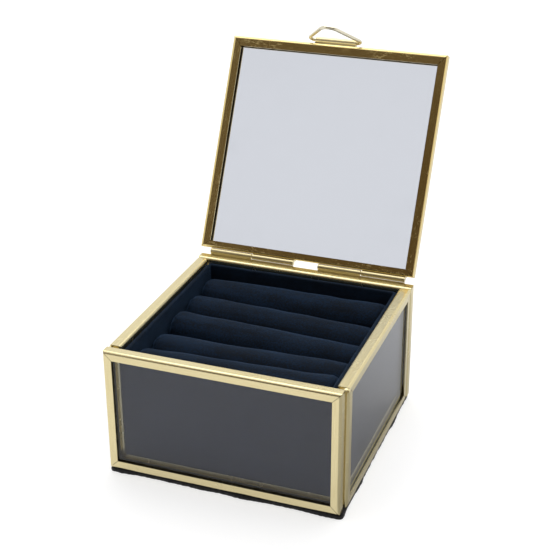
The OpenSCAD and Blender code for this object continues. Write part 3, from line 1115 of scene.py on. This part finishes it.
class RINGBOX_OT_solder(Operator):
    """Solder drops where the wall panels meet and at the feet of the hinge leaves"""

    bl_idname = "ring_box.solder"
    bl_label = "Solder Drops"

    def execute(self, context):
        sizes = context.scene.ring_box_sizes
        low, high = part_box("right_top_strip")
        left_low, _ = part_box("left_top_strip")
        drop = sizes.drop_size
        below_rim = high.z - 1.25 * drop
        gap = 0.4 * MM
        at_rim = high.z - 0.62 * drop
        outward, upward = Vector((1.0, 0.0, 0.0)), Vector((0.0, 0.0, 1.0))
        spots = [
            (high.x - 0.1 * drop, low.y - gap, below_rim, outward),
            (high.x - 0.4 * drop, high.y + gap, below_rim, outward),
            (left_low.x + 0.9 * drop, low.y - gap, below_rim, -outward),
            (left_low.x + 0.9 * drop, high.y + gap, below_rim, -outward),
            (high.x - 1.2 * drop, low.y - gap, at_rim, upward),
            (high.x - 1.6 * drop, high.y + gap, at_rim, upward),
        ]
        bm = bmesh.new()
        for x, y, z, normal in spots:
            self.point(bm, Vector((x, y, z)), normal)
        for side in ("left", "right"):
            leaf_low, leaf_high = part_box(f"{side}_box_knuckle")
            for x in (leaf_low.x + 1.5 * drop, leaf_high.x - 1.5 * drop):
                foot = Vector((x, leaf_low.y + 0.3 * MM, leaf_low.z + drop))
                self.point(bm, foot, Vector((0.0, 1.0, 0.0)))
        piece = grown(
            "solder_drops", plain_mesh(bm, "solder_points"), drops_tree(),
            {"Radius": drop, "Seed": 11}, bpy.data.materials["plated_solder"],
        )
        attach(piece, "box")
        return {"FINISHED"}

    def point(self, bm, spot, normal):
        """A tiny triangle whose centre and normal carry one drop."""
        first = normal.orthogonal().normalized()
        second = normal.cross(first)
        reach = 0.01 * MM
        corners = (first, second - first, -second)
        bm.faces.new([bm.verts.new(spot + corner * reach) for corner in corners])


class RINGBOX_OT_seals(Operator):
    """Seals between each pane and the far flange of its channel, coloured as painted reflection
    of that flange
    """

    bl_idname = "ring_box.seals"
    bl_label = "Glazing Seals"

    def execute(self, context):
        sizes = context.scene.ring_box_sizes
        seal = painted_reflection_seal_finish()
        short_of_flange = 1.05 * MM
        wall = sizes.flange_width - short_of_flange
        walls = {"front": (1, 1), "back": (1, -1), "left": (0, 1), "right": (0, -1)}
        for panel, (axis, inward) in walls.items():
            low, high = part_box(f"{panel}_glass")
            piece = self.ring(
                f"{panel}_seal", low, high, axis, inward, (wall,) * 4, Matrix(), seal
            )
            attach(piece, "box")
        opened = (
            Matrix.Translation(HINGE) @ Matrix.Rotation(-LID_OPEN, 4, "X")
            @ Matrix.Translation(-HINGE)
        )
        closed = opened.inverted()
        points = [closed @ vert.co for vert in frame["nodes"]["lid_glass"].data.vertices]
        low = Vector(min(point[axis] for point in points) for axis in range(3))
        high = Vector(max(point[axis] for point in points) for axis in range(3))
        left, right, free, hinged = (reach * MM for reach in (3.25, 2.85, 3.55, 2.15))
        insets = (left, right, free, hinged)
        piece = self.ring("lid_seal", low, high, 2, 1, insets, opened, seal)
        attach(piece, "lid")
        return {"FINISHED"}

    def ring(self, name, low, high, axis, side, insets, matrix, seal):
        """A flat frame beside a pane's face; insets are at its low and high edges in turn."""
        thick = bpy.context.scene.ring_box_sizes.seal_thickness
        across, up = [other for other in range(3) if other != axis]
        face = high[axis] if side > 0 else low[axis]
        rim, clearance = 0.1 * MM, 0.03 * MM
        levels = (face + side * clearance, face + side * (clearance + thick))
        bm = bmesh.new()
        loops = []
        for level in levels:
            for a_low, a_high, b_low, b_high in ((rim, rim, rim, rim), insets):
                loop = []
                for a, b in ((low[across] + a_low, low[up] + b_low),
                             (high[across] - a_high, low[up] + b_low),
                             (high[across] - a_high, high[up] - b_high),
                             (low[across] + a_low, high[up] - b_high)):
                    point = Vector()
                    point[across], point[up], point[axis] = a, b, level
                    loop.append(bm.verts.new(matrix @ point))
                loops.append(loop)
        for first, second in ((0, 1), (1, 3), (3, 2), (2, 0)):
            for corner in range(4):
                after = (corner + 1) % 4
                bm.faces.new((
                    loops[first][corner], loops[first][after],
                    loops[second][after], loops[second][corner],
                ))
        return place(name, mesh_of(bm, name), seal, smooth=False)


OPERATORS = (
    RINGBOX_OT_stage, RINGBOX_OT_brass, RINGBOX_OT_glass, RINGBOX_OT_tray,
    RINGBOX_OT_lining, RINGBOX_OT_rolls, RINGBOX_OT_felt, RINGBOX_OT_pull,
    RINGBOX_OT_solder, RINGBOX_OT_seals,
)


class RINGBOX_PT_sidebar(Panel):
    """Sizes, colours and a button for each piece of the ring box"""

    bl_idname = "RINGBOX_PT_sidebar"
    bl_label = "Glass Ring Box"
    bl_space_type = "VIEW_3D"
    bl_region_type = "UI"
    bl_category = "Ring Box"

    def draw(self, context):
        for group in (context.scene.ring_box_sizes, context.scene.ring_box_colours):
            column = self.layout.column(align=True)
            for key in group.__annotations__:
                column.prop(group, key)
        column = self.layout.column(align=True)
        for operator in OPERATORS:
            column.operator(operator.bl_idname)


CLASSES = (RingBoxSizes, RingBoxColours, *OPERATORS, RINGBOX_PT_sidebar)


def register():
    """Registers the classes and hangs the settings on the scene."""
    for cls in CLASSES:
        bpy.utils.register_class(cls)
    bpy.types.Scene.ring_box_sizes = PointerProperty(type=RingBoxSizes)
    bpy.types.Scene.ring_box_colours = PointerProperty(type=RingBoxColours)


def unregister():
    """Takes the settings and classes away again."""
    del bpy.types.Scene.ring_box_colours
    del bpy.types.Scene.ring_box_sizes
    for cls in reversed(CLASSES):
        bpy.utils.unregister_class(cls)


def main():
    """Builds the whole scene."""
    register()
    for operator in OPERATORS:
        group, action = operator.bl_idname.split(".")
        getattr(getattr(bpy.ops, group), action)()


if __name__ == "__main__":
    main()
